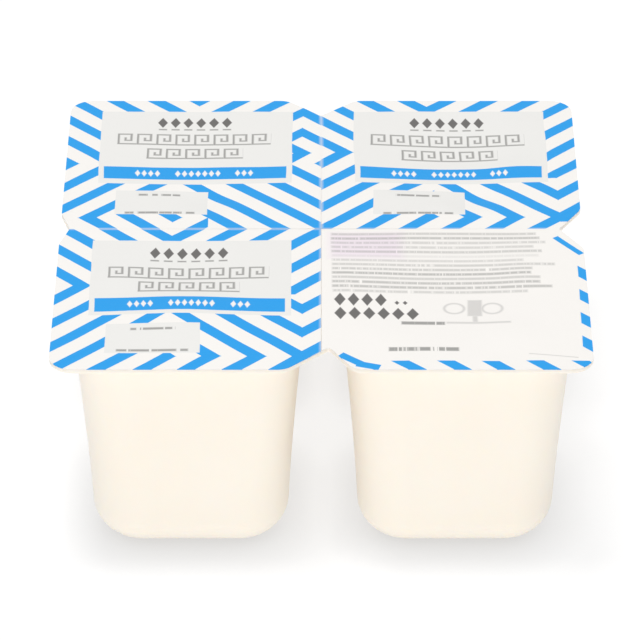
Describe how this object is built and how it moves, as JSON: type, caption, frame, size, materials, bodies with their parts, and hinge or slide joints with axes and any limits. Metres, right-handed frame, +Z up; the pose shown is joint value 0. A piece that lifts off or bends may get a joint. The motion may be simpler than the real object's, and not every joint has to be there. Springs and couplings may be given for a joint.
{
  "type": "yogurt pot multipack",
  "caption": "Joined pack of shut square yogurt pots with tapered cream cups, one flange with snap lines and notches, and printed lid films.",
  "frame": {"origin": "on the floor, under the middle of the pack's flange", "axes": "+X to the right, +Y to the back, +Z up, with the front being the side whose notch is deepest"},
  "size_m": [0.124, 0.124, 0.0565],
  "materials": {
    "cup_plastic": "cream-white formed polystyrene with a soft satin sheen",
    "lid_film": "printed sealing film, off-white with a blue stripe pattern, low gloss"
  },
  "bodies": {
    "root": {"pot_tray": "cup_plastic", "lid_front_left": "lid_film", "lid_front_right": "lid_film", "lid_back_left": "lid_film", "lid_back_right": "lid_film"}
  },
  "joints": []
}
